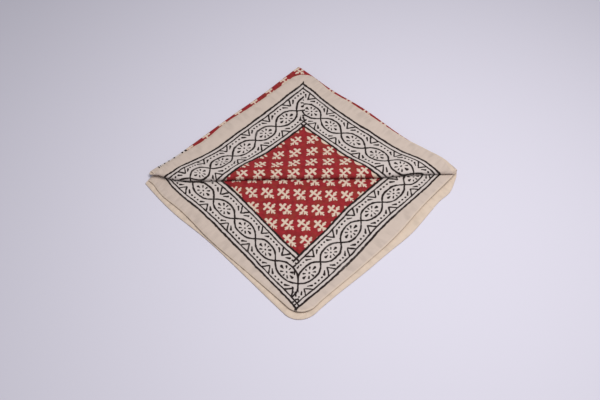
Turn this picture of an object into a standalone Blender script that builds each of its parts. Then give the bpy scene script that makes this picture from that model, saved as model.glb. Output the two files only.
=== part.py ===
"""Folded ajrakh cloth: a square block-printed cotton napkin, folded in quarters, with the open
corner of its two top layers turned up over the diagonal. Metres, +Z up. The closed corner
points to +Y, the open one to -Y, and the origin is under the middle of the folded shape."""
import math

import bmesh
import bpy
from mathutils import Vector

# The cloth
THICKNESS = 0.0010
LAYER_GAP = 0.0004
CORNER_RADIUS = 0.019

# The flat napkin has its middle at s = t = 0. The first fold is along t = 0 and the second along
# s = 0, so each quarter is a layer of its own, from the top: s and t both plus, then t minus,
# then both minus, then s minus. No hem is quite straight, and each row follows one of them:
# its distance from the fold beside it, every STATION along it, from minus four to plus four.
HALF_SIDE = 0.2250
STATION = 0.0500
HEMS = {
    # side: at -4, -3, -2, -1, 0, 1, 2, 3, 4 stations along it
    "s_minus": (0.2218, 0.2229, 0.2244, 0.2220, 0.2270, 0.2303, 0.2279, 0.2287, 0.2299),
    "s_plus": (0.2210, 0.2225, 0.2258, 0.2268, 0.2255, 0.2255, 0.2245, 0.2212, 0.2197),
    "t_minus": (0.2199, 0.2232, 0.2232, 0.2231, 0.2242, 0.2280, 0.2280, 0.2280, 0.2278),
    "t_plus": (0.2232, 0.2245, 0.2263, 0.2306, 0.2240, 0.2240, 0.2240, 0.2238, 0.2238),
}

# The third fold turns two layers up, along a line this far from the closed corner,
# measured as the sum of the ways along both closed edges
TURN_LINE = 0.2275

# Mesh of the sheet
CELL = 0.0125
BEND_STEPS = 6
CLOSED_CORNER_STEPS = 12
CORNER_STEPS = 6
MERGE = 0.00003
PROBE = 0.000005
# Lines across the roll of loose cloth behind the third fold, from the end of its bend
ROLL_LINES = (0.0040, 0.0075, 0.0110, 0.0150, 0.0200)

# Soft rises in the folded stack, from the middle of the third fold. Each lifts what lies above
# the given number of pressed layers.
RISES = (
    # name, x, y, reach along x, reach along y, height, layers left down
    ("roll_behind_turn_left", -0.085, 0.010, 0.052, 0.010, 0.0034, 4),
    ("roll_behind_turn_middle", 0.000, 0.010, 0.052, 0.010, 0.0033, 4),
    ("roll_behind_turn_right", 0.085, 0.010, 0.052, 0.010, 0.0034, 4),
    ("left_tip", -0.152, 0.004, 0.026, 0.022, 0.0016, 2),
    ("right_tip", 0.146, 0.012, 0.038, 0.034, 0.0038, 1),
    ("open_corner", 0.000, -0.150, 0.034, 0.026, 0.0012, 1),
    ("lower_left_edge", -0.088, -0.060, 0.030, 0.026, 0.0009, 1),
    ("lower_right_edge", 0.092, -0.056, 0.034, 0.028, 0.0012, 1),
    ("middle_of_third", -0.012, -0.060, 0.032, 0.026, 0.0006, 1),
    ("flap_left_hem", -0.070, 0.068, 0.034, 0.024, 0.0014, 4),
    ("flap_right_hem", 0.078, 0.066, 0.034, 0.026, 0.0009, 4),
    ("flap_tip", 0.004, 0.128, 0.026, 0.022, 0.0012, 4),
)

# Layers that have slipped a little, each row for all above or below one height
SLIPS = (
    # name, x, y, reach, slip along x, slip along y, layers left out, what slips
    ("upper_pairs", -0.156, 0.000, 0.030, 0.0000, 0.0030, 2, "above"),
    ("above_lowest", -0.158, 0.002, 0.022, 0.0030, 0.0032, 1, "above"),
    ("lower_pair", -0.158, 0.000, 0.045, 0.0012, -0.0030, 2, "below"),
    ("flap_hem_at_right", 0.140, 0.036, 0.020, 0.0030, 0.0034, 4, "above"),
    ("closed_edge_at_left", -0.036, 0.112, 0.032, 0.0006, -0.0014, 4, "below"),
    ("closed_edge_at_right", 0.030, 0.116, 0.026, -0.0006, -0.0016, 4, "below"),
)

PITCH = THICKNESS + LAYER_GAP
INNER_BEND = 0.5 * PITCH
OUTER_BEND = 1.5 * PITCH
SECOND_FOLD_HEIGHT = 0.5 * THICKNESS + OUTER_BEND
THIRD_FOLD_HEIGHT = SECOND_FOLD_HEIGHT + 2.0 * PITCH


def bend_lines(radius, steps=BEND_STEPS):
    """Lines across a half-round bend, from its middle."""
    return [radius * math.pi * (step / steps - 0.5) for step in range(steps + 1)]


def even_lines(start, end):
    """Lines about a cell apart between two places, neither of them included."""
    count = max(1, round((end - start) / CELL))
    return [start + (end - start) * step / count for step in range(1, count)]


def score(bm, normal, distance, wanted):
    """Cuts the flat cloth's wanted faces along one line."""
    faces = [face for face in bm.faces if wanted(face.calc_center_median())]
    edges = {edge for face in faces for edge in face.edges}
    verts = {vert for face in faces for vert in face.verts}
    length = math.hypot(*normal)
    unit = (normal[0] / length, normal[1] / length, 0.0)
    point = tuple(axis * distance / length for axis in unit)
    geometry = faces + list(edges) + list(verts)
    bmesh.ops.bisect_plane(bm, geom=geometry, dist=1e-7, plane_co=point, plane_no=unit)


def hem(side, along):
    """A hem's distance from its fold, on a smooth curve through the hem's stations."""
    reaches = HEMS[side]
    last = len(reaches) - 1
    place = min(last, max(0.0, along / STATION + last / 2))
    before = min(last - 1, int(place))
    share = place - before
    r0, r1, r2, r3 = (reaches[min(last, max(0, before + step))] for step in (-1, 0, 1, 2))
    slope = (r2 - r0) / 2
    next_slope = (r3 - r1) / 2
    bow = 3 * (r2 - r1) - 2 * slope - next_slope
    twist = 2 * (r1 - r2) + slope + next_slope
    return r1 + share * (slope + share * (bow + share * twist))


def stretched(s, t):
    """A point of the true square, moved to where the uneven cloth has it. Only the outer part moves."""
    s_hem = hem("s_plus" if s > 0 else "s_minus", t)
    t_hem = hem("t_plus" if t > 0 else "t_minus", s)
    s_share = (s / HALF_SIDE) ** 3
    t_share = (t / HALF_SIDE) ** 3
    return s + (s_hem - HALF_SIDE) * s_share, t + (t_hem - HALF_SIDE) * t_share


def flat_cloth():
    """The napkin cut out flat, its corners rounded, scored along every line where it bends."""
    bm = bmesh.new()
    corners = ((-1, -1), (1, -1), (1, 1), (-1, 1))
    verts = [bm.verts.new((HALF_SIDE * s, HALF_SIDE * t, 0.0)) for s, t in corners]
    bm.faces.new(verts)
    bmesh.ops.bevel(bm, geom=verts, offset=CORNER_RADIUS, segments=CORNER_STEPS, profile=0.5,
                    affect="VERTICES")

    level_part = even_lines(math.pi * OUTER_BEND / 2, HALF_SIDE)
    for line in [-way for way in level_part] + level_part:
        score(bm, (1, 0), line, lambda centre: True)
        score(bm, (0, 1), line, lambda centre: True)
    first_fold = bend_lines(INNER_BEND)
    for line in first_fold:
        score(bm, (0, 1), line, lambda centre: True)
        score(bm, (1, 0), line, lambda centre: centre.y < first_fold[-1])
    second_fold = bend_lines(OUTER_BEND)
    for line in second_fold:
        score(bm, (1, 0), line, lambda centre: centre.y > first_fold[0])
    for line in bend_lines(OUTER_BEND, CLOSED_CORNER_STEPS):
        score(bm, (1, 0), line, lambda centre: abs(centre.y) < first_fold[-1])
    for line in bend_lines(INNER_BEND, CLOSED_CORNER_STEPS):
        score(bm, (0, 1), line, lambda centre: abs(centre.x) < second_fold[-1])
    for vert in bm.verts:
        vert.co.x, vert.co.y = stretched(vert.co.x, vert.co.y)

    for side, layer_bend, turn_bend in ((-1, INNER_BEND, OUTER_BEND), (1, OUTER_BEND, INNER_BEND)):
        lost = shortfall(layer_bend) + layer_bend - OUTER_BEND + shortfall(INNER_BEND)
        first = TURN_LINE + lost
        bend = [math.pi * turn_bend * step / BEND_STEPS for step in range(BEND_STEPS + 1)]
        for run in bend + [bend[-1] + behind for behind in ROLL_LINES]:
            line = first + math.sqrt(2) * run
            score(bm, (1, side), line, lambda centre: centre.x > 0 and centre.y * side > 0)

    bmesh.ops.remove_doubles(bm, verts=bm.verts, dist=MERGE)
    bmesh.ops.triangulate(bm, faces=bm.faces)
    return bm


def shortfall(radius):
    """How much nearer its bend's outer edge a point comes to lie, by going round the bend."""
    return (math.pi / 2 - 1) * radius


def fold_back(run, radius):
    """A strip bent half round at run = 0: the way in from the bend's outer edge, and the rise."""
    turn = run / radius
    if abs(turn) < math.pi / 2:
        return radius * (1 - math.cos(turn)), radius * math.sin(turn)
    return abs(run) - shortfall(radius), math.copysign(radius, run)


def turn_over(run, radius):
    """A strip lying level until run = 0, then bent half round and lying back on itself."""
    if run < 0:
        return run, -radius
    turn = run / radius
    if turn < math.pi:
        return radius * math.sin(turn), -radius * math.cos(turn)
    return math.pi * radius - run, radius


def above(height, layers):
    """How far a height is clear of the given number of pressed layers, from 0 to 1, eased."""
    level = THICKNESS / 2 + (layers - 1) * PITCH
    share = min(1.0, max(0.0, (height - level) / PITCH))
    return share * share * (3 - 2 * share)


def nearness(x, y, at_x, at_y, reach_x, reach_y):
    """A soft hump, 1 at its middle."""
    return math.exp(-((x - at_x) / reach_x) ** 2 - ((y - at_y) / reach_y) ** 2)


def settled(x, y, height):
    """A point of the evenly pressed stack, lifted and slipped as the loose cloth is."""
    lift, slip_x, slip_y = 0.0, 0.0, 0.0
    for _, at_x, at_y, reach_x, reach_y, rise, layers in RISES:
        lift += rise * above(height, layers) * nearness(x, y, at_x, at_y, reach_x, reach_y)
    for _, at_x, at_y, reach, along_x, along_y, layers, which in SLIPS:
        share = above(height, layers)
        if which == "below":
            share = 1.0 - share
        share *= nearness(x, y, at_x, at_y, reach, reach)
        slip_x += along_x * share
        slip_y += along_y * share
    return x + slip_x, y + slip_y, height + lift


def folded(s, t):
    """Where a point of the flat cloth lies once the napkin is folded."""
    along_right, offset = fold_back(t, INNER_BEND)
    bend = PITCH + offset
    along_left, rise = fold_back(s, bend)
    along_left += OUTER_BEND - bend
    height = SECOND_FOLD_HEIGHT + rise

    past_line = (along_left + along_right - TURN_LINE) / math.sqrt(2)
    if s > 0 and past_line > 0:
        reach, rise = turn_over(past_line, PITCH - offset)
        height = THIRD_FOLD_HEIGHT + rise
        along_left += (reach - past_line) / math.sqrt(2)
        along_right += (reach - past_line) / math.sqrt(2)

    x = (along_right - along_left) / math.sqrt(2)
    y = (TURN_LINE - along_left - along_right) / math.sqrt(2)
    return settled(x, y, height)


def both_faces(s, t):
    """The two faces of the cloth at a point, half a thickness to each side along its normal."""
    middle = Vector(folded(s, t))
    along_s = Vector(folded(s + PROBE, t)) - Vector(folded(s - PROBE, t))
    along_t = Vector(folded(s, t + PROBE)) - Vector(folded(s, t - PROBE))
    half = along_s.cross(along_t).normalized() * THICKNESS / 2
    return middle + half, middle - half


def thick_sheet(flat):
    """The folded cloth as a closed skin: a printed face, a wrong face, and the edge between them."""
    bm = bmesh.new()
    pairs = {}
    for vert in flat.verts:
        front, back = both_faces(vert.co.x, vert.co.y)
        pairs[vert] = (bm.verts.new(front), bm.verts.new(back))
    for face in flat.faces:
        bm.faces.new([pairs[vert][0] for vert in face.verts])
        bm.faces.new([pairs[vert][1] for vert in reversed(face.verts)])
    for edge in flat.edges:
        if edge.is_boundary:
            start, end = (loop.vert for loop in (edge.link_loops[0], edge.link_loops[0].link_loop_next))
            bm.faces.new((pairs[end][0], pairs[start][0], pairs[start][1], pairs[end][1]))
    return bm


def centre_on_origin(bm):
    """Moves the folded shape sideways, so that the origin is under the middle of its box."""
    for axis in (0, 1):
        places = [vert.co[axis] for vert in bm.verts]
        middle = (min(places) + max(places)) / 2
        for vert in bm.verts:
            vert.co[axis] -= middle


def printed_cotton():
    """Thin dyed and printed cotton, seen as one even colour."""
    material = bpy.data.materials.new("printed_cotton")
    material.use_nodes = True
    shader = material.node_tree.nodes["Principled BSDF"]
    shader.inputs["Base Color"].default_value = (0.52, 0.40, 0.33, 1.0)
    shader.inputs["Roughness"].default_value = 0.9
    shader.inputs["Metallic"].default_value = 0.0
    return material


def folded_cloth():
    """The napkin as one closed sheet of even thickness."""
    flat = flat_cloth()
    bm = thick_sheet(flat)
    flat.free()
    centre_on_origin(bm)
    mesh = bpy.data.meshes.new("folded_cloth")
    bm.to_mesh(mesh)
    bm.free()
    mesh.shade_smooth()
    mesh.set_sharp_from_angle(angle=math.radians(50))
    mesh.materials.append(printed_cotton())
    cloth = bpy.data.objects.new("folded_cloth", mesh)
    bpy.context.collection.objects.link(cloth)
    return cloth


for existing in list(bpy.data.objects):
    bpy.data.objects.remove(existing)
folded_cloth()
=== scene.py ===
import math

import bmesh
import bpy
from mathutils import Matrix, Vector


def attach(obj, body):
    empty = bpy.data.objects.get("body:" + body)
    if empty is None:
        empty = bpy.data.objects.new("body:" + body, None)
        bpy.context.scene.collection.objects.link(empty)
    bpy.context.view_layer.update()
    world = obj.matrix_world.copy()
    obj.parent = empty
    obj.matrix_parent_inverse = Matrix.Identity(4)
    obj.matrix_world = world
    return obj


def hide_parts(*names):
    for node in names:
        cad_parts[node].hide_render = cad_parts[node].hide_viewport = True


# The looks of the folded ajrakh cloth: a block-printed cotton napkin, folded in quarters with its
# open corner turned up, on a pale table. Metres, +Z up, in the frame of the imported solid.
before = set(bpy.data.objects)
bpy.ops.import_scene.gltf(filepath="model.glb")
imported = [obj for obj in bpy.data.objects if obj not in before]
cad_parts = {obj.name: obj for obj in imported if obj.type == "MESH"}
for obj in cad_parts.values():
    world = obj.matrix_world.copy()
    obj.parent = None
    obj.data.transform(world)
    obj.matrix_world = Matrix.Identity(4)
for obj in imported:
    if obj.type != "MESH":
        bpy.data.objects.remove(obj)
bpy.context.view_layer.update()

bpy.ops.object.select_all(action="DESELECT")


# Table and light
# A pale lavender-white table top, much larger than the view, under one soft lamp close above its
# right side and the even light of a room. The camera looks down at the napkin from its open corner.
TABLE_HALF = 3.0
TABLE_COLOUR = (0.66, 0.64, 0.73, 1.0)
TABLE_ROUGHNESS = 0.9
TABLE_GLOSS = 0.2

bpy.ops.mesh.primitive_plane_add(size=2 * TABLE_HALF, location=(0.0, 0.0, 0.0))
table = bpy.context.object
table.name = "table"
table_finish = bpy.data.materials.new("pale_table")
table_finish.use_nodes = True
table_shader = table_finish.node_tree.nodes["Principled BSDF"]
table_shader.inputs["Base Color"].default_value = TABLE_COLOUR
table_shader.inputs["Roughness"].default_value = TABLE_ROUGHNESS
table_shader.inputs["Specular IOR Level"].default_value = TABLE_GLOSS
table.data.materials.append(table_finish)

ROOM_COLOUR = (0.93, 0.94, 1.0, 1.0)
ROOM_STRENGTH = 0.325

room = bpy.data.worlds.new("room")
bpy.context.scene.world = room
room.use_nodes = True
room.node_tree.nodes["Background"].inputs["Color"].default_value = ROOM_COLOUR
room.node_tree.nodes["Background"].inputs["Strength"].default_value = ROOM_STRENGTH

LAMP_PLACE = Vector((0.17, -0.10, 0.72))
LAMP_WIDTH = 0.45
LAMP_WATTS = 4.9
LAMP_COLOUR = (1.0, 0.985, 0.97)

lamp = bpy.data.lights.new("key_lamp", "AREA")
lamp.shape = "DISK"
lamp.size = LAMP_WIDTH
lamp.energy = LAMP_WATTS
lamp.color = LAMP_COLOUR
lamp_holder = bpy.data.objects.new("key_lamp", lamp)
lamp_holder.location = LAMP_PLACE
lamp_holder.rotation_euler = (-LAMP_PLACE).to_track_quat("-Z", "Y").to_euler()
bpy.context.collection.objects.link(lamp_holder)

CAMERA_ELEVATION = math.radians(56.17)
CAMERA_ROLL = -0.0180
CAMERA_DISTANCE = 0.5825
CAMERA_AIM = Vector((-0.00181, -0.02922, 0.0))
LENS = 35.0
SENSOR_WIDTH = 36.0
NEAREST_SEEN = 0.01

optics = bpy.data.cameras.new("camera")
optics.lens = LENS
optics.sensor_width = SENSOR_WIDTH
optics.clip_start = NEAREST_SEEN
camera = bpy.data.objects.new("camera", optics)
back = Vector((0.0, -math.cos(CAMERA_ELEVATION), math.sin(CAMERA_ELEVATION)))
level = Vector((1.0, 0.0, 0.0))
upward = back.cross(level)
right = level * math.cos(CAMERA_ROLL) + upward * math.sin(CAMERA_ROLL)
upward = upward * math.cos(CAMERA_ROLL) - level * math.sin(CAMERA_ROLL)
turned = camera.matrix_world.to_3x3()
turned.col[0], turned.col[1], turned.col[2] = right, upward, back
camera.matrix_world = turned.to_4x4()
camera.location = CAMERA_AIM + back * CAMERA_DISTANCE
bpy.context.collection.objects.link(camera)
bpy.context.scene.camera = camera
bpy.context.scene.view_settings.view_transform = "Standard"


# Folded napkin, its folds
# One square of thin plain-woven cotton, hemmed all round and folded twice into a quarter. The open
# corner of the two top layers is then turned up over the diagonal, so the far half has six layers.
# Flat, its middle is at s = t = 0, the first fold is along t = 0 and the second along s = 0.
CLOTH = 0.00045
HEM_CLOTH = 0.00085
HEM_WIDTH = 0.0045
HEM_STEP = 0.0015
HEM_RIM = 0.35 * HEM_CLOTH
CORNER_RADIUS = 0.019
HALF_SIDE = 0.2250
STATION = 0.0500
HEMS = {
    # side: the distance of its hem from the middle of the cloth, at -4 to 4 stations along it
    "s_minus": (0.2218, 0.2229, 0.2244, 0.2220, 0.2270, 0.2303, 0.2279, 0.2287, 0.2299),
    "s_plus": (0.2210, 0.2225, 0.2258, 0.2268, 0.2255, 0.2255, 0.2245, 0.2212, 0.2197),
    "t_minus": (0.2199, 0.2234, 0.2258, 0.2231, 0.2242, 0.2280, 0.2280, 0.2280, 0.2278),
    "t_plus": (0.2232, 0.2245, 0.2263, 0.2306, 0.2240, 0.2240, 0.2240, 0.2238, 0.2238),
}
TURN_LINE = 0.2275
# Where the loose cloth stands up, on the folded napkin before it is centred
RISES = (
    # name, x, y, reach along x, reach along y, height, how many of the lowest layers stay down
    ("roll_behind_turn_left", -0.085, 0.010, 0.052, 0.010, 0.0034, 4),
    ("roll_behind_turn_middle", 0.000, 0.010, 0.052, 0.010, 0.0033, 4),
    ("roll_behind_turn_right", 0.085, 0.010, 0.052, 0.010, 0.0034, 4),
    ("left_tip", -0.152, 0.004, 0.026, 0.022, 0.0016, 2),
    ("right_tip", 0.146, 0.012, 0.038, 0.034, 0.0038, 1),
    ("open_corner", 0.000, -0.150, 0.034, 0.026, 0.0012, 1),
    ("lower_left_edge", -0.088, -0.060, 0.030, 0.026, 0.0009, 1),
    ("lower_right_edge", 0.092, -0.056, 0.034, 0.028, 0.0012, 1),
    ("middle_of_third", -0.012, -0.060, 0.032, 0.026, 0.0006, 1),
    ("flap_left_hem", -0.070, 0.068, 0.034, 0.024, 0.0014, 4),
    ("flap_right_hem", 0.078, 0.066, 0.034, 0.026, 0.0009, 4),
    ("flap_tip", 0.004, 0.128, 0.026, 0.022, 0.0012, 4),
)
# Where its layers have slipped past each other
SLIPS = (
    # name, x, y, reach, slip along x, slip along y, a number of the lowest layers, and whether they
    # slip themselves ("below") or what lies on them does ("above")
    ("upper_pairs", -0.156, 0.000, 0.030, 0.0000, 0.0030, 2, "above"),
    ("above_lowest", -0.158, 0.002, 0.022, 0.0030, 0.0032, 1, "above"),
    ("tip_above_lowest", -0.154, 0.002, 0.012, 0.0022, 0.0022, 1, "above"),
    ("lower_pair", -0.158, 0.000, 0.045, 0.0012, -0.0030, 2, "below"),
    ("turn_in_middle", -0.030, -0.004, 0.055, 0.0000, 0.0011, 2, "above"),
    ("turn_at_right", 0.116, -0.004, 0.028, 0.0000, 0.0020, 2, "above"),
    ("flap_hem_at_right", 0.140, 0.036, 0.020, 0.0030, 0.0034, 4, "above"),
    ("flap_tip_at_right", 0.147, 0.019, 0.012, 0.0030, 0.0036, 4, "above"),
    ("flap_edge_at_right", 0.153, 0.009, 0.010, 0.0030, 0.0036, 4, "above"),
    ("right_corner", 0.154, 0.014, 0.012, -0.0002, 0.0042, 0, "above"),
    ("flap_tip_at_left", -0.152, 0.004, 0.010, 0.0000, -0.0012, 4, "above"),
    ("flap_hem_at_left", -0.098, 0.048, 0.021, 0.0022, -0.0022, 4, "above"),
    ("lower_pair_at_left", -0.151, 0.007, 0.009, -0.0022, 0.0030, 2, "below"),
    ("flap_hem_near_its_tip", 0.035, 0.114, 0.016, -0.0017, -0.0017, 4, "above"),
    ("lowest_at_right", 0.152, -0.016, 0.014, 0.0014, -0.0022, 1, "below"),
    ("lowest_corner_at_right", 0.150, -0.010, 0.018, 0.0006, -0.0042, 1, "below"),
    ("lowest_in_front_at_right", 0.068, -0.088, 0.055, 0.0037, -0.0037, 1, "below"),
    ("lowest_out_at_right", 0.098, -0.061, 0.026, 0.0026, -0.0026, 1, "below"),
    ("closed_edge_at_left", -0.036, 0.112, 0.032, 0.0006, -0.0014, 4, "below"),
    ("closed_edge_at_right", 0.030, 0.116, 0.026, -0.0006, -0.0016, 4, "below"),
    ("closed_edge_out_at_right", 0.066, 0.083, 0.034, 0.0016, 0.0016, 4, "below"),
)
# The layers of the solid and the distance from one to the next
LAYER = 0.0010
PITCH = 0.0014
INNER_BEND = 0.5 * PITCH
OUTER_BEND = 1.5 * PITCH
SECOND_FOLD_HEIGHT = 0.5 * LAYER + OUTER_BEND
THIRD_FOLD_HEIGHT = SECOND_FOLD_HEIGHT + 2.0 * PITCH
CENTRED = (0.000120, -0.005075)
# The grid of the flat cloth
CELL = 0.0026
BEND_STEPS = 8
CORNER_STEPS = 10
SAME_LINE = 0.0000001
SAME_POINT = 0.00003
# The stitches draw the cloth up beside the hems, in waves that come and go
PUCKER_RISE = 0.00042
PUCKER_REACH = 0.019
PUCKER_WAVE = 0.0016
PUCKER_WANDER = (1.9, 0.0071)
PUCKER_FADE = (0.35, 0.0113)


def on_stations(values, place):
    """A smooth curve through evenly spaced values, at a place counted in stations from the first."""
    last = len(values) - 1
    place = min(last, max(0.0, place))
    before = min(last - 1, int(place))
    share = place - before
    v0, v1, v2, v3 = (values[min(last, max(0, before + step))] for step in (-1, 0, 1, 2))
    slope = (v2 - v0) / 2
    next_slope = (v3 - v1) / 2
    bow = 3 * (v2 - v1) - 2 * slope - next_slope
    twist = 2 * (v1 - v2) + slope + next_slope
    return v1 + share * (slope + share * (bow + share * twist))


def hem_at(s, t):
    """How far from the middle of the cloth the two hems beside a point are."""
    middle = (len(HEMS["s_plus"]) - 1) / 2
    s_hem = on_stations(HEMS["s_plus" if s > 0 else "s_minus"], t / STATION + middle)
    t_hem = on_stations(HEMS["t_plus" if t > 0 else "t_minus"], s / STATION + middle)
    return s_hem, t_hem


def stretched(s, t):
    """A point of the true square, moved to where the uneven cloth has it."""
    s_hem, t_hem = hem_at(s, t)
    more_s = (s_hem - HALF_SIDE) * (s / HALF_SIDE) ** 3
    more_t = (t_hem - HALF_SIDE) * (t / HALF_SIDE) ** 3
    return s + more_s, t + more_t


def shortfall(radius):
    """How much nearer its bend's outer edge a point comes to lie, by going round the bend."""
    return (math.pi / 2 - 1) * radius


def fold_back(run, radius):
    """A strip bent half round at run = 0: the way in from the bend's outer edge, and the rise."""
    turn = run / radius
    if abs(turn) < math.pi / 2:
        return radius * (1 - math.cos(turn)), radius * math.sin(turn)
    return abs(run) - shortfall(radius), math.copysign(radius, run)


def turn_over(run, radius):
    """A strip lying level until run = 0, then bent half round and lying back on itself."""
    if run < 0:
        return run, -radius
    turn = run / radius
    if turn < math.pi:
        return radius * math.sin(turn), -radius * math.cos(turn)
    return math.pi * radius - run, radius


def eased(share):
    """A share from 0 to 1 that starts and ends gently."""
    share = min(1.0, max(0.0, share))
    return share * share * (3 - 2 * share)


def above(height, layers):
    """How far a height is clear of the given number of pressed layers, from 0 to 1, eased."""
    return eased((height - LAYER / 2 - (layers - 1) * PITCH) / PITCH)


def nearness(x, y, at_x, at_y, reach_x, reach_y):
    """A soft hump, 1 at its middle."""
    return math.exp(-((x - at_x) / reach_x) ** 2 - ((y - at_y) / reach_y) ** 2)


def settled(x, y, height):
    """A point of the evenly pressed stack, lifted and slipped as the loose cloth is."""
    lift, slip_x, slip_y = 0.0, 0.0, 0.0
    for _, at_x, at_y, reach_x, reach_y, rise, layers in RISES:
        lift += rise * above(height, layers) * nearness(x, y, at_x, at_y, reach_x, reach_y)
    for _, at_x, at_y, reach, along_x, along_y, layers, which in SLIPS:
        share = above(height, layers)
        if which == "below":
            share = 1.0 - share
        share *= nearness(x, y, at_x, at_y, reach, reach)
        slip_x += along_x * share
        slip_y += along_y * share
    return x + slip_x, y + slip_y, height + lift


def wave(along):
    """The uneven puckers along a sewn hem, from 0 to 1."""
    turns, wander_length = PUCKER_WANDER
    share, fade_length = PUCKER_FADE
    wavering = math.sin(along / PUCKER_WAVE + turns * math.sin(along / wander_length))
    fading = (1 - share) + share * math.sin(along / fade_length + 1.0)
    return 0.5 + 0.5 * wavering * fading


def pucker(s, t):
    """How far the cloth is drawn up beside its hems by their stitches."""
    s_hem, t_hem = hem_at(s, t)
    beside_s = eased(1 - (s_hem - abs(s)) / PUCKER_REACH)
    beside_t = eased(1 - (t_hem - abs(t)) / PUCKER_REACH)
    return PUCKER_RISE * (beside_s * wave(t) + (1 - beside_s) * beside_t * wave(s))


def folded(s, t):
    """Where a point of the flat cloth lies once the napkin is folded."""
    along_right, offset = fold_back(t, INNER_BEND)
    bend = PITCH + offset
    along_left, rise = fold_back(s, bend)
    along_left += OUTER_BEND - bend
    height = SECOND_FOLD_HEIGHT + rise
    past_line = (along_left + along_right - TURN_LINE) / math.sqrt(2)
    if s > 0 and past_line > 0:
        reach, rise = turn_over(past_line, PITCH - offset)
        height = THIRD_FOLD_HEIGHT + rise
        along_left += (reach - past_line) / math.sqrt(2)
        along_right += (reach - past_line) / math.sqrt(2)
    x = (along_right - along_left) / math.sqrt(2)
    y = (TURN_LINE - along_left - along_right) / math.sqrt(2)
    x, y, height = settled(x, y, height)
    return Vector((x + CENTRED[0], y + CENTRED[1], height + pucker(s, t)))


def to_hem(s, t):
    """How far inside the nearest hem a point of the flat cloth is."""
    s_hem, t_hem = hem_at(s, t)
    in_s, in_t = s_hem - abs(s), t_hem - abs(t)
    if in_s < CORNER_RADIUS and in_t < CORNER_RADIUS:
        return CORNER_RADIUS - math.hypot(CORNER_RADIUS - in_s, CORNER_RADIUS - in_t)
    return min(in_s, in_t)


def bend_lines(radius):
    """Where the flat cloth is cut so that it goes round a bend smoothly."""
    return [radius * math.pi * (step / BEND_STEPS - 0.5) for step in range(BEND_STEPS + 1)]


def grid_lines(*radii):
    """Lines across the flat cloth, close together round each bend and a cell apart elsewhere."""
    bends = sorted({round(line, 7) for radius in radii for line in bend_lines(radius)})
    start = bends[-1]
    count = round((HALF_SIDE - start) / CELL)
    level_part = [start + (HALF_SIDE - start) * step / count for step in range(1, count + 1)]
    return [-line for line in reversed(level_part)] + bends + level_part


def cut(bm, faces, normal, distance, clear=False):
    """Cuts some faces of the flat cloth along one line, and may drop what is beyond it."""
    edges = dict.fromkeys(edge for face in faces for edge in face.edges)
    verts = dict.fromkeys(vert for face in faces for vert in face.verts)
    length = math.hypot(*normal)
    unit = Vector((normal[0] / length, normal[1] / length, 0.0))
    bmesh.ops.bisect_plane(bm, geom=faces + list(edges) + list(verts), dist=SAME_LINE,
                           plane_co=unit * (distance / length), plane_no=unit, clear_outer=clear)


def flat_cloth():
    """The hemmed square laid flat, with its corners rounded, and cut along all lines where it bends."""
    bm = bmesh.new()
    s_lines = grid_lines(INNER_BEND, OUTER_BEND)
    t_lines = grid_lines(INNER_BEND)
    rows = [[bm.verts.new((s, t, 0.0)) for s in s_lines] for t in t_lines]
    for row, next_row in zip(rows, rows[1:]):
        for column in range(len(s_lines) - 1):
            bm.faces.new((row[column], row[column + 1], next_row[column + 1], next_row[column]))
    centre = HALF_SIDE - CORNER_RADIUS
    for s_side, t_side in ((-1, -1), (1, -1), (1, 1), (-1, 1)):
        for step in range(CORNER_STEPS):
            angle = math.pi / 2 * (step + 0.5) / CORNER_STEPS
            across = (s_side * math.cos(angle), t_side * math.sin(angle))
            reach = centre * (abs(across[0]) + abs(across[1])) + CORNER_RADIUS
            faces = [face for face in bm.faces
                     if face.verts[0].co.x * s_side > centre - CELL
                     and face.verts[0].co.y * t_side > centre - CELL]
            cut(bm, faces, across, reach, clear=True)
    for vert in bm.verts:
        vert.co.x, vert.co.y = stretched(vert.co.x, vert.co.y)
    for side, layer_bend, turn_bend in ((-1, INNER_BEND, OUTER_BEND), (1, OUTER_BEND, INNER_BEND)):
        first = TURN_LINE + shortfall(layer_bend) + layer_bend - OUTER_BEND + shortfall(INNER_BEND)
        for step in range(BEND_STEPS + 1):
            line = first + math.sqrt(2) * math.pi * turn_bend * step / BEND_STEPS
            faces = [face for face in bm.faces
                     if face.verts[0].co.x > -CELL and face.verts[0].co.y * side > -CELL
                     and abs(face.verts[0].co.x + face.verts[0].co.y * side - line) < 3 * CELL]
            faces = [face for face in faces
                     if face.calc_center_median().x > 0 and face.calc_center_median().y * side > 0]
            cut(bm, faces, (1, side), line)
    bmesh.ops.remove_doubles(bm, verts=bm.verts, dist=SAME_POINT)
    bmesh.ops.triangulate(bm, faces=[face for face in bm.faces if len(face.verts) > 4])
    return bm


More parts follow.
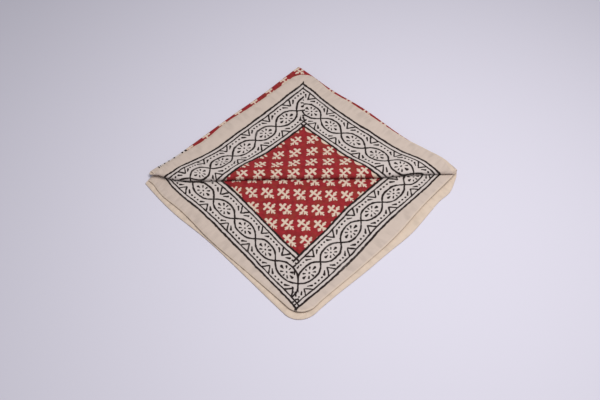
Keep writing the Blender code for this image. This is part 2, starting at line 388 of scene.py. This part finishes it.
# Folded napkin, where the blocks were printed
# Each side of the napkin has its own printed strip, and the strips meet or overlap at the corners.
# Hand printing leaves no strip quite straight, so each has a row for every crossing of its stems.
# REPEAT is one repeat of the border's block, and HALF_STRIP the border's half width in repeats.
REPEAT = 0.031
HALF_STRIP = 0.615
STRIPS = {
    # side: along the side, then the distances of the inmost line, the crossing and the outmost line
    "s_minus": (
        (-0.2240, 0.1790, 0.2000, 0.2200),
        (-0.1932, 0.1774, 0.1990, 0.2157),
        (-0.1618, 0.1776, 0.1969, 0.2141),
        (-0.1312, 0.1753, 0.1932, 0.2121),
        (-0.1000, 0.1723, 0.1916, 0.2106),
        (-0.0680, 0.1703, 0.1910, 0.2088),
        (-0.0359, 0.1700, 0.1917, 0.2098),
        (-0.0045, 0.1700, 0.1920, 0.2105),
    ),
    "t_minus": (
        (-0.2240, 0.1722, 0.1915, 0.2090),
        (-0.1990, 0.1740, 0.1932, 0.2108),
        (-0.1687, 0.1741, 0.1928, 0.2126),
        (-0.1405, 0.1732, 0.1929, 0.2124),
        (-0.1087, 0.1707, 0.1904, 0.2105),
        (-0.0781, 0.1717, 0.1918, 0.2106),
        (-0.0464, 0.1733, 0.1945, 0.2118),
        (-0.0190, 0.1746, 0.1956, 0.2131),
        (0.0088, 0.1740, 0.1968, 0.2145),
        (0.0358, 0.1735, 0.1974, 0.2145),
        (0.0644, 0.1722, 0.1920, 0.2123),
        (0.0942, 0.1689, 0.1905, 0.2108),
        (0.1257, 0.1688, 0.1881, 0.2093),
        (0.1555, 0.1681, 0.1886, 0.2099),
        (0.1850, 0.1680, 0.1892, 0.2123),
    ),
    "s_plus": (
        (-0.1789, 0.1615, 0.1825, 0.2058),
        (-0.1468, 0.1623, 0.1827, 0.2050),
        (-0.1179, 0.1637, 0.1842, 0.2050),
        (-0.0875, 0.1678, 0.1862, 0.2078),
        (-0.0596, 0.1710, 0.1889, 0.2107),
        (-0.0385, 0.1725, 0.1964, 0.2132),
        (-0.0080, 0.1740, 0.1970, 0.2150),
    ),
    "t_plus": ((-0.1860, 0.1730, 0.1920, 0.2110), (-0.1550, 0.1730, 0.1920, 0.2110)),
}
# How far past the mitre each strip runs at its ends, for its parts from the inmost line outwards
STRIP_ENDS = {
    # strip, corner: its inmost line, its stems, its second outer line, its outmost line
    ("s_minus", "t_minus"): (-0.0032, -0.0062, -0.0032, -0.0080),
    ("t_minus", "s_minus"): (0.0125, 0.0142, 0.0128, 0.0103),
    ("s_plus", "t_minus"): (0.0112, 0.0076, 0.0085, 0.0085),
    ("t_minus", "s_plus"): (-0.0010, -0.0065, -0.0065, -0.0065),
    ("s_minus", "t_plus"): (0.004, 0.004, 0.004, 0.004),
    ("t_plus", "s_minus"): (0.002, 0.002, 0.002, 0.002),
    ("s_plus", "t_plus"): (0.004, 0.004, 0.004, 0.004),
    ("t_plus", "s_plus"): (0.002, 0.002, 0.002, 0.002),
}
# Those parts' distances out from the crossings, in repeats
ENDS_AT = (-0.470, 0.0, 0.485, HALF_STRIP)
# The flap's print is pressed together where the cloth is rolled behind the turn
GATHER_START = 0.009
GATHER_LENGTH = 0.011
GATHER = (
    # along the turn, how much of the print is taken up there
    (-0.060, 0.0060),
    (-0.041, 0.0073),
    (-0.023, 0.0090),
    (-0.006, 0.0056),
    (0.011, 0.0037),
    (0.060, 0.0034),
)
FIELD = {
    # s above 0, t above 0: a flower's place, the step along its row, the step to the next row
    (False, False): ((-0.1279, -0.1257), (0.0105, -0.0121), (-0.0115, -0.0142)),
    (False, True): ((-0.1279, 0.1257), (0.0105, -0.0121), (-0.0115, -0.0142)),
    (True, False): ((0.1241, -0.1142), (-0.0122, -0.0124), (0.0109, -0.0123)),
    (True, True): ((0.0065, 0.0050), (-0.0116, -0.01235), (0.0116, -0.01235)),
}


def strip_place(side, along, distance):
    """A point in a strip's own measure: repeats along it, and repeats outwards from its crossings."""
    rows = STRIPS[side]
    for row, (start, end) in enumerate(zip(rows, rows[1:])):
        if along < end[0]:
            break
    share = (along - start[0]) / (end[0] - start[0])
    lasting = min(1.0, max(0.0, share))
    inner, crossing, outer = (start[n] + (end[n] - start[n]) * lasting for n in (1, 2, 3))
    edge = outer if distance > crossing else inner
    return row + share, HALF_STRIP * (distance - crossing) / abs(edge - crossing)


def mitre(side, corner, past, outwards):
    """How far a place is inside the end of a strip, past 0 where it has ended."""
    reaches = STRIP_ENDS[side, corner]
    steps = list(zip(ENDS_AT, reaches))
    for (start, least), (end, most) in zip(steps, steps[1:]):
        if outwards < end:
            break
    share = min(1.0, max(0.0, (outwards - start) / (end - start)))
    return least + (most - least) * share - past


def gathered(s, t):
    """A point of the flap's field, as far from the turn as the print there reaches."""
    behind = (s - t - TURN_LINE) / math.sqrt(2)
    across = (-t - s) / math.sqrt(2)
    for (start, least), (end, most) in zip(GATHER, GATHER[1:]):
        if across < end:
            break
    share = min(1.0, max(0.0, (across - start) / (end - start)))
    more = (least + (most - least) * share) * eased((behind - GATHER_START) / GATHER_LENGTH)
    return s + more / math.sqrt(2), t - more / math.sqrt(2)


def print_places(s, t):
    """For a point of the flat cloth: its place in both border strips beside it, and in the field."""
    s_side = "s_plus" if s > 0 else "s_minus"
    t_side = "t_plus" if t > 0 else "t_minus"
    along, outwards = strip_place(s_side, t, abs(s))
    side_strip = (along, outwards, mitre(s_side, t_side, abs(t) - abs(s), outwards) / REPEAT)
    along, outwards = strip_place(t_side, s, abs(t))
    end_strip = (along, outwards, mitre(t_side, s_side, abs(s) - abs(t), outwards) / REPEAT)
    if s > 0 > t:
        s, t = gathered(s, t)
    (at_s, at_t), (row_s, row_t), (next_s, next_t) = FIELD[s > 0, t > 0]
    area = row_s * next_t - row_t * next_s
    in_row = ((s - at_s) * next_t - (t - at_t) * next_s) / area
    in_rows = ((t - at_t) * row_s - (s - at_s) * row_t) / area
    return side_strip, end_strip, (in_row, in_rows, s if abs(t) > abs(s) else t)


# The small steps by which the slope of the cloth and the way inwards are found
PROBE = 0.000005
JUST_INSIDE = 0.999


def faces_at(s, t):
    """The middle of the cloth's thickness at a point, its printed face and its wrong side."""
    middle = folded(s, t)
    along_s = folded(s + PROBE, t) - folded(s - PROBE, t)
    along_t = folded(s, t + PROBE) - folded(s, t - PROBE)
    normal = along_s.cross(along_t).normalized()
    in_hem = 1.0 - eased((to_hem(s, t) - HEM_WIDTH) / HEM_STEP)
    half = normal * (CLOTH + (HEM_CLOTH - CLOTH) * in_hem) / 2
    return middle, middle + half, middle - half


def napkin_mesh():
    """The folded sheet as a closed skin, with the places of its print kept at every point."""
    flat = flat_cloth()
    bm = bmesh.new()
    layers = {name: bm.verts.layers.float_vector.new(name)
              for name in ("cloth", "side_strip", "end_strip", "flowers")}

    def point(place, s, t, tucked):
        vert = bm.verts.new(place)
        side_strip, end_strip, flowers = print_places(s, t)
        vert[layers["cloth"]] = (s, t, tucked)
        vert[layers["side_strip"]] = side_strip
        vert[layers["end_strip"]] = end_strip
        vert[layers["flowers"]] = flowers
        return vert

    skins, middles = {}, {}
    for vert in flat.verts:
        s, t = vert.co.x, vert.co.y
        middle, front, back_side = faces_at(s, t)
        inside = max(0.0, to_hem(s, t))
        middles[vert] = middle
        skins[vert] = (point(front, s, t, inside), point(back_side, s, t, inside))
    for face in flat.faces:
        bm.faces.new([skins[vert][0] for vert in face.verts])
        bm.faces.new([skins[vert][1] for vert in reversed(face.verts)]).material_index = 1
    rims = {}
    for vert in flat.verts:
        if vert.is_boundary:
            s, t = vert.co.x, vert.co.y
            inwards = folded(s * JUST_INSIDE, t * JUST_INSIDE) - middles[vert]
            out = middles[vert] - inwards.normalized() * HEM_RIM
            rims[vert] = point(out, s, t, 0.0)
    for edge in flat.edges:
        if edge.is_boundary:
            start, end = (loop.vert for loop in (edge.link_loops[0], edge.link_loops[0].link_loop_next))
            bm.faces.new((skins[end][0], skins[start][0], rims[start], rims[end]))
            bm.faces.new((rims[end], rims[start], skins[start][1], skins[end][1]))
    flat.free()
    mesh = bpy.data.meshes.new("napkin")
    bm.to_mesh(mesh)
    bm.free()
    mesh.shade_smooth()
    return mesh


# Folded napkin, its dyes and its print
# The field is red with small undyed flowers, kept free of dye by a printed paste. The border is
# black: two crossing stems make a chain of pods with seeds, between double lines, on grey-beige.
# Its blocks were inked and pressed by hand, so the lines swell, thin out and wander a little.
def feed(tree, sockets, values):
    """Joins each value to its socket: another node's result by a link, and a number as it is."""
    for socket, value in zip(sockets, values):
        if isinstance(value, bpy.types.NodeSocket):
            tree.links.new(value, socket)
        else:
            socket.default_value = value


def reckon(tree, operation, *values, clamped=False):
    """A sum with numbers."""
    node = tree.nodes.new("ShaderNodeMath")
    node.operation = operation
    node.use_clamp = clamped
    feed(tree, node.inputs, values)
    return node.outputs[0]


def steer(tree, operation, *values, scale=None):
    """A sum with places or directions."""
    node = tree.nodes.new("ShaderNodeVectorMath")
    node.operation = operation
    feed(tree, node.inputs, values)
    if scale is not None:
        tree.links.new(scale, node.inputs["Scale"])
    return node.outputs["Value" if operation in ("DISTANCE", "DOT_PRODUCT") else "Vector"]


def split(tree, place):
    """The three numbers of a place."""
    node = tree.nodes.new("ShaderNodeSeparateXYZ")
    tree.links.new(place, node.inputs[0])
    return node.outputs


def kept_place(tree, name):
    """A place kept on the napkin's mesh, as one vector and as its three numbers."""
    node = tree.nodes.new("ShaderNodeAttribute")
    node.attribute_name = name
    return node.outputs["Vector"], split(tree, node.outputs["Vector"])


def joined(tree, *values):
    """A place from its three numbers."""
    node = tree.nodes.new("ShaderNodeCombineXYZ")
    feed(tree, node.inputs, values)
    return node.outputs[0]


def uneven(tree, place, size, detail=2.0):
    """Soft noise from 0 to 1, its blotches about as large as the size given."""
    node = tree.nodes.new("ShaderNodeTexNoise")
    node.inputs["Scale"].default_value = 1.0 / size
    node.inputs["Detail"].default_value = detail
    tree.links.new(place, node.inputs["Vector"])
    return node.outputs


def drop(tree, place, start, end, start_width, end_width):
    """How far a place is outside a rounded drop with a half width at each end, negative inside it."""
    run = (end[0] - start[0], end[1] - start[1], 0.0)
    square = run[0] ** 2 + run[1] ** 2
    from_start = steer(tree, "SUBTRACT", place, (start[0], start[1], 0.0))
    share = steer(tree, "DOT_PRODUCT", from_start, tuple(part / square for part in run))
    share = reckon(tree, "ADD", share, 0.0, clamped=True)
    nearest = steer(tree, "SCALE", run, scale=share)
    away = steer(tree, "DISTANCE", from_start, nearest)
    width = reckon(tree, "MULTIPLY_ADD", share, end_width - start_width, start_width)
    return reckon(tree, "SUBTRACT", away, width)


def nearest_of(tree, distances):
    """The least of several distances."""
    nearest = distances[0]
    for distance in distances[1:]:
        nearest = reckon(tree, "MINIMUM", nearest, distance)
    return nearest


def inked(tree, distance, softness):
    """1 inside a printed form and 0 outside, with a soft edge."""
    node = tree.nodes.new("ShaderNodeMapRange")
    node.interpolation_type = "SMOOTHSTEP"
    node.inputs["From Min"].default_value = softness
    node.inputs["From Max"].default_value = -softness
    tree.links.new(distance, node.inputs["Value"])
    return node.outputs["Result"]


# The border's block, in repeats
STEM_SWING = 0.245
STEM_SHOULDER = 0.08
STEM_HALF_WIDTH = 0.030
SEEDS = (
    # from, to, half width at each end, from the middle of a pod
    ((0.155, 0.0), (0.245, 0.0), 0.016, 0.044),
    ((0.092, 0.074), (0.140, 0.114), 0.018, 0.031),
    ((0.0, 0.098), (0.0, 0.146), 0.017, 0.027),
    ((0.0, 0.0), (0.001, 0.0), 0.029, 0.029),
)
BESIDE_CROSSING = (
    # from, to, half width at each end, from the crossing of the stems
    ((0.008, 0.268), (0.165, 0.475), 0.026, 0.028),
    ((0.132, 0.276), (0.240, 0.360), 0.018, 0.037),
    ((0.355, 0.375), (0.370, 0.375), 0.031, 0.031),
    ((0.495, 0.375), (0.505, 0.375), 0.031, 0.031),
)
LINES = (
    # distance from the crossings, half width
    (0.485, 0.026),
    (HALF_STRIP, 0.035),
)


def border_block(tree, place, wander):
    """One printed border strip: how far a place is outside its ink, and how far out it is itself."""
    along, out, from_end = split(tree, steer(tree, "ADD", place, wander))
    outwards = reckon(tree, "ABSOLUTE", out)
    angle = reckon(tree, "MULTIPLY", along, math.pi)
    swing = reckon(tree, "SINE", angle)
    shoulder = reckon(tree, "SINE", reckon(tree, "MULTIPLY", angle, 3.0))
    swing = reckon(tree, "MULTIPLY_ADD", shoulder, STEM_SHOULDER, swing)
    stem = reckon(tree, "MULTIPLY", reckon(tree, "ABSOLUTE", swing), STEM_SWING)
    slope = reckon(tree, "MULTIPLY", reckon(tree, "COSINE", angle), math.pi * STEM_SWING)
    steep = reckon(tree, "SQRT", reckon(tree, "MULTIPLY_ADD", slope, slope, 1.0))
    away = reckon(tree, "ABSOLUTE", reckon(tree, "SUBTRACT", outwards, stem))
    away = reckon(tree, "SUBTRACT", reckon(tree, "DIVIDE", away, steep), STEM_HALF_WIDTH)
    for distance, half_width in LINES:
        line = reckon(tree, "ABSOLUTE", reckon(tree, "SUBTRACT", outwards, distance))
        away = reckon(tree, "MINIMUM", away, reckon(tree, "SUBTRACT", line, half_width))
    from_crossing = reckon(tree, "PINGPONG", along, 0.5)
    from_pod = reckon(tree, "SUBTRACT", 0.5, from_crossing)
    for forms, run in ((SEEDS, from_pod), (BESIDE_CROSSING, from_crossing)):
        corner = joined(tree, run, outwards, 0.0)
        for form in forms:
            away = reckon(tree, "MINIMUM", away, drop(tree, corner, *form))
    past_end = reckon(tree, "MULTIPLY", from_end, -1.0)
    return reckon(tree, "MAXIMUM", away, past_end), out


FLOWER = (
    # from, to, half width at each end, in millimetres from the flower's middle, its head at plus
    ((0.2, 3.4), (0.5, 7.4), 1.15, 1.45),
    ((0.2, 3.4), (0.5, -2.0), 1.10, 1.10),
    ((0.2, 3.4), (4.4, 4.2), 1.00, 1.40),
    ((0.2, 3.4), (-4.4, 3.0), 1.00, 1.35),
    ((0.5, -1.9), (7.0, -0.7), 0.80, 1.00),
    ((2.4, -1.7), (5.0, -2.6), 0.85, 0.60),
    ((2.4, -1.5), (5.0, 0.2), 0.85, 0.60),
    ((0.4, -2.1), (-5.4, -3.1), 0.80, 1.00),
    ((-2.0, -2.5), (-4.3, -1.2), 0.85, 0.60),
    ((-2.0, -2.6), (-3.9, -4.3), 0.85, 0.60),
    ((0.4, -2.4), (0.0, -8.6), 0.90, 0.85),
    ((0.2, -4.4), (2.1, -6.6), 0.90, 0.60),
    ((0.2, -4.4), (-2.0, -6.4), 0.90, 0.60),
)
FLOWER_SIZES = (
    # in the field: the way of its head, its sizes along the two diagonals of the cloth
    ((False, False), 1.0, 0.92, 0.92),
    ((True, False), -1.0, 0.80, 0.92),
)
# Where the paste ran together under the flap's border there are plain round blots
BLOT_RADIUS = 8.0
BLOT_MIDDLE = (0.0, -1.8, 0.0)
BLOTS_FROM = 4.5
NO_BLOT = 100.0
MILLIMETRES = 1000.0


def flower_block(tree, flowers, on_plus, wander):
    """How far a place is outside the nearest undyed flower, in millimetres."""
    nearest_flower = steer(tree, "FLOOR", steer(tree, "ADD", flowers, (0.5, 0.5, 0.5)))
    beside, beyond, _ = split(tree, steer(tree, "SUBTRACT", flowers, nearest_flower))
    places = []
    for quarter, head, across_size, along_size in FLOWER_SIZES:
        steps = []
        for step_s, step_t in FIELD[quarter][1:]:
            total = MILLIMETRES * (step_s + step_t) / 2 / along_size
            difference = MILLIMETRES * (step_s - step_t) / 2 / across_size
            steps.append((total + difference, (total - difference) * head, 0.0))
        in_row = steer(tree, "SCALE", steps[0], scale=beside)
        in_rows = steer(tree, "SCALE", steps[1], scale=beyond)
        places.append(steer(tree, "ADD", in_row, in_rows))
    turned_place = steer(tree, "SUBTRACT", places[1], places[0])
    turned_place = steer(tree, "SCALE", turned_place, scale=on_plus)
    place = steer(tree, "ADD", places[0], turned_place)
    place = steer(tree, "ADD", place, wander)
    petals = nearest_of(tree, [drop(tree, place, *petal) for petal in FLOWER])
    in_row, in_rows, _ = split(tree, nearest_flower)
    row = reckon(tree, "ADD", in_row, in_rows)
    blotted = reckon(tree, "MULTIPLY", reckon(tree, "GREATER_THAN", row, BLOTS_FROM), on_plus)
    away = reckon(tree, "MULTIPLY_ADD", blotted, -NO_BLOT, NO_BLOT - BLOT_RADIUS)
    blot = reckon(tree, "ADD", steer(tree, "DISTANCE", place, BLOT_MIDDLE), away)
    return reckon(tree, "MINIMUM", petals, blot)


# How the hand-made print wanders, swells and wears: the size of each unevenness and how strong it
# is. What ends in EDGE is how softly a printed form ends.
WANDER_SIZE = 0.016
BORDER_WANDER = (0.07, 0.06, 0.0)
FLOWER_WANDER = (2.6, 2.6, 0.0)
SWELL_SIZE = 0.0035
INK_SWELL = 0.045
PETAL_SWELL = 0.9
FIELD_SWELL = 0.06
FIELD_INSET = 0.01
INK_EDGE = 0.010
PETAL_EDGE = 0.35
FIELD_EDGE = 0.012
WEAR_SIZE = 0.020
WEAR = (0.9, 0.64)


def printed_pattern():
    """The napkin's print as one group: how much ink, red and pale border there is at a place."""
    tree = bpy.data.node_groups.new("napkin_print", "ShaderNodeTree")
    for name in ("Ink", "Red", "Border"):
        tree.interface.new_socket(name, in_out="OUTPUT", socket_type="NodeSocketFloat")
    cloth, (s, _, _) = kept_place(tree, "cloth")
    drift = steer(tree, "SUBTRACT", uneven(tree, cloth, WANDER_SIZE)["Color"], (0.5, 0.5, 0.5))
    wander = steer(tree, "MULTIPLY", drift, BORDER_WANDER)
    swell = reckon(tree, "SUBTRACT", uneven(tree, cloth, SWELL_SIZE, 3.0)[0], 0.5)

    side_ink, side_out = border_block(tree, kept_place(tree, "side_strip")[0], wander)
    end_ink, end_out = border_block(tree, kept_place(tree, "end_strip")[0], wander)
    ink = reckon(tree, "MINIMUM", side_ink, end_ink)
    ink = inked(tree, reckon(tree, "MULTIPLY_ADD", swell, INK_SWELL, ink), INK_EDGE)
    weight = reckon(tree, "MULTIPLY_ADD", uneven(tree, cloth, WEAR_SIZE, 3.0)[0], *WEAR, clamped=True)
    ink = reckon(tree, "MULTIPLY", ink, weight)

    outwards = reckon(tree, "MAXIMUM", side_out, end_out)
    flower_wander = steer(tree, "MULTIPLY", drift, FLOWER_WANDER)
    on_plus = reckon(tree, "GREATER_THAN", s, 0.0)
    petals = flower_block(tree, kept_place(tree, "flowers")[0], on_plus, flower_wander)
    petals = reckon(tree, "MULTIPLY_ADD", swell, PETAL_SWELL, petals)
    outside_field = reckon(tree, "ADD", outwards, HALF_STRIP + FIELD_INSET)
    field = inked(tree, reckon(tree, "MULTIPLY_ADD", swell, FIELD_SWELL, outside_field), FIELD_EDGE)
    dyed = reckon(tree, "SUBTRACT", 1.0, inked(tree, petals, PETAL_EDGE))
    red = reckon(tree, "MULTIPLY", field, dyed)
    within = inked(tree, reckon(tree, "SUBTRACT", outwards, HALF_STRIP), FIELD_EDGE)
    border = reckon(tree, "MULTIPLY", within, reckon(tree, "SUBTRACT", 1.0, field))

    result = tree.nodes.new("NodeGroupOutput")
    feed(tree, result.inputs, (ink, red, border))
    return tree


# The colours of the cotton and of its dyes
UNDYED = (0.560, 0.463, 0.402)
UNDYED_BACK = (0.650, 0.530, 0.430)
BORDER_GROUND = (0.585, 0.518, 0.490)
PETAL = (0.640, 0.510, 0.405)
RED = (0.320, 0.019, 0.026)
DEEP_RED = (0.195, 0.012, 0.016)
RUSTY_RED = (0.235, 0.034, 0.021)
INK = (0.014, 0.008, 0.007)
# Sizes of the unevenness in the cotton and in its dyes, and how steeply some of it comes and goes
BLOTCH_SIZE = 0.012
WIDE_BLOTCH_SIZE = 0.045
DYE_SIZE = 0.005
DYE_CONTRAST = (2.6, -0.75)
RUST_SIZE = 0.0085
RUST_CONTRAST = (5.0, -2.35)
RUST_SHARE = 0.75
HOLLOW_SIZE = 0.0060
# The painted shade in the hollows beside the hems: how steeply it comes and goes, and how much is laid
# on
HOLLOW_SHADE_CONTRAST = (-5.0, 2.65)
HOLLOW_SHADE_SHARE = 0.60
HOLLOW_STRETCH = 0.35
HOLLOW_BUMP = 16.0
# How far in, and how softly, the hollows with their painted shade end, and the hem's painted highlight
HOLLOWS_END = (0.011, 0.006)
RIM_HIGHLIGHT_ENDS = (0.0012, 0.0007)
RIM_HIGHLIGHT_SHARE = 0.7
ROUGHNESS = (0.12, 0.80)
GLOSS = 0.15
SHEEN = 0.03
SHEEN_ROUGHNESS = 0.6
YARN = 0.00055
YARN_BUMP = 0.25
SLUB_SIZE = 0.0009
SLUB_STRETCH = 0.06
BUMP_STRENGTH = 0.25
BUMP_DEPTH = 0.0003
# How strongly the print shows on each side of the cloth
FACE_STRENGTH = 1.0
BACK_STRENGTH = 0.40


def dyed_cotton(name, pattern, undyed, strength):
    """Plain-woven cotton with the print on it, at full strength or as it shows on the wrong side."""
    material = bpy.data.materials.new(name)
    material.use_nodes = True
    tree = material.node_tree
    shader = tree.nodes["Principled BSDF"]
    prints = tree.nodes.new("ShaderNodeGroup")
    prints.node_tree = pattern
    cloth, (s, t, tucked) = kept_place(tree, "cloth")
    blotch = uneven(tree, cloth, BLOTCH_SIZE, 4.0)[0]
    wide_blotch = uneven(tree, cloth, WIDE_BLOTCH_SIZE, 2.0)[0]

    def shaded(colour, share):
        return tuple(share * part for part in colour)

    def within(ends):
        return inked(tree, reckon(tree, "SUBTRACT", tucked, ends[0]), ends[1])

    def blended(share, under, over):
        node = tree.nodes.new("ShaderNodeMix")
        node.data_type = "RGBA"
        colours = [(*colour, 1.0) if isinstance(colour, tuple) else colour for colour in (under, over)]
        feed(tree, (node.inputs["Factor"], node.inputs["A"], node.inputs["B"]), (share, *colours))
        return node.outputs["Result"]

    def of_strength(value):
        return reckon(tree, "MULTIPLY", value, strength)

    # The undyed cotton, with painted shade in the hollows between its puckers and a painted highlight
    # on its hem
    cotton = blended(blotch, shaded(undyed, 0.91), shaded(undyed, 1.07))
    along_hem = kept_place(tree, "flowers")[1][2]
    beside_hem = joined(tree, along_hem, reckon(tree, "MULTIPLY", tucked, HOLLOW_STRETCH), 0.0)
    drawn_up = uneven(tree, beside_hem, HOLLOW_SIZE, 1.0)[0]
    near_hem = within(HOLLOWS_END)
    # Painted shade: the cotton is darkened in the hollows between the puckers beside the hems
    painted_hollow_shade = reckon(tree, "MULTIPLY_ADD", drawn_up, *HOLLOW_SHADE_CONTRAST, clamped=True)
    painted_hollow_shade = reckon(tree, "MULTIPLY", painted_hollow_shade, reckon(tree, "MULTIPLY", near_hem, HOLLOW_SHADE_SHARE))
    cotton = blended(painted_hollow_shade, cotton, shaded(undyed, 0.80))
    # Painted highlight: a paler, warmer band along the rim of the hem, where its rounded fold catches
    # the light
    rim_highlight = reckon(tree, "MULTIPLY", within(RIM_HIGHLIGHT_ENDS), RIM_HIGHLIGHT_SHARE)
    cotton = blended(rim_highlight, cotton, UNDYED_BACK)

    # The border's ground, then the flowers and the red round them, then the ink
    ground = blended(wide_blotch, shaded(BORDER_GROUND, 0.86), shaded(BORDER_GROUND, 1.08))
    cotton = blended(of_strength(prints.outputs["Border"]), cotton, ground)
    fine = uneven(tree, cloth, DYE_SIZE, 3.0)[0]
    red = blended(reckon(tree, "MULTIPLY_ADD", fine, *DYE_CONTRAST, clamped=True), DEEP_RED, RED)
    rusty = steer(tree, "DOT_PRODUCT", uneven(tree, cloth, RUST_SIZE, 2.0)[1], (0.0, 1.0, 0.0))
    rusty = reckon(tree, "MULTIPLY_ADD", rusty, *RUST_CONTRAST, clamped=True)
    red = blended(reckon(tree, "MULTIPLY", rusty, RUST_SHARE), red, RUSTY_RED)
    flower = blended(wide_blotch, shaded(PETAL, 0.95), PETAL)
    side_out = kept_place(tree, "side_strip")[1][1]
    end_out = kept_place(tree, "end_strip")[1][1]
    outwards = reckon(tree, "MAXIMUM", side_out, end_out)
    field = inked(tree, reckon(tree, "ADD", outwards, HALF_STRIP), FIELD_EDGE)
    colour = blended(of_strength(field), cotton, flower)
    colour = blended(of_strength(prints.outputs["Red"]), colour, red)
    colour = blended(of_strength(prints.outputs["Ink"]), colour, INK)
    tree.links.new(colour, shader.inputs["Base Color"])

    # Matt cloth with a little fuzz
    roughness = reckon(tree, "MULTIPLY_ADD", blotch, *ROUGHNESS)
    tree.links.new(roughness, shader.inputs["Roughness"])
    shader.inputs["Specular IOR Level"].default_value = GLOSS
    shader.inputs["Sheen Weight"].default_value = SHEEN
    shader.inputs["Sheen Roughness"].default_value = SHEEN_ROUGHNESS

    # The plain weave, its thicker yarns and the finest of the puckers, as a bump
    warp = reckon(tree, "SINE", reckon(tree, "MULTIPLY", s, math.pi / YARN))
    weft = reckon(tree, "SINE", reckon(tree, "MULTIPLY", t, math.pi / YARN))
    weave = reckon(tree, "MULTIPLY", warp, weft)
    slubs = []
    for stretch in ((1.0, SLUB_STRETCH, 0.0), (SLUB_STRETCH, 1.0, 0.0)):
        run = steer(tree, "MULTIPLY", cloth, stretch)
        slubs.append(uneven(tree, run, SLUB_SIZE, 2.0)[0])
    slub = reckon(tree, "ADD", *slubs)
    drawn_up = reckon(tree, "MULTIPLY", drawn_up, reckon(tree, "MULTIPLY", near_hem, HOLLOW_BUMP))
    height = reckon(tree, "MULTIPLY_ADD", weave, YARN_BUMP, reckon(tree, "ADD", slub, drawn_up))
    bump = tree.nodes.new("ShaderNodeBump")
    bump.inputs["Strength"].default_value = BUMP_STRENGTH
    bump.inputs["Distance"].default_value = BUMP_DEPTH
    tree.links.new(height, bump.inputs["Height"])
    tree.links.new(bump.outputs[0], shader.inputs["Normal"])
    return material


napkin = bpy.data.objects.new("napkin", napkin_mesh())
bpy.context.collection.objects.link(napkin)
napkin_print = printed_pattern()
napkin.data.materials.append(dyed_cotton("printed_face", napkin_print, UNDYED, FACE_STRENGTH))
napkin.data.materials.append(dyed_cotton("wrong_side", napkin_print, UNDYED_BACK, BACK_STRENGTH))
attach(napkin, "root")
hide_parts("folded_cloth")
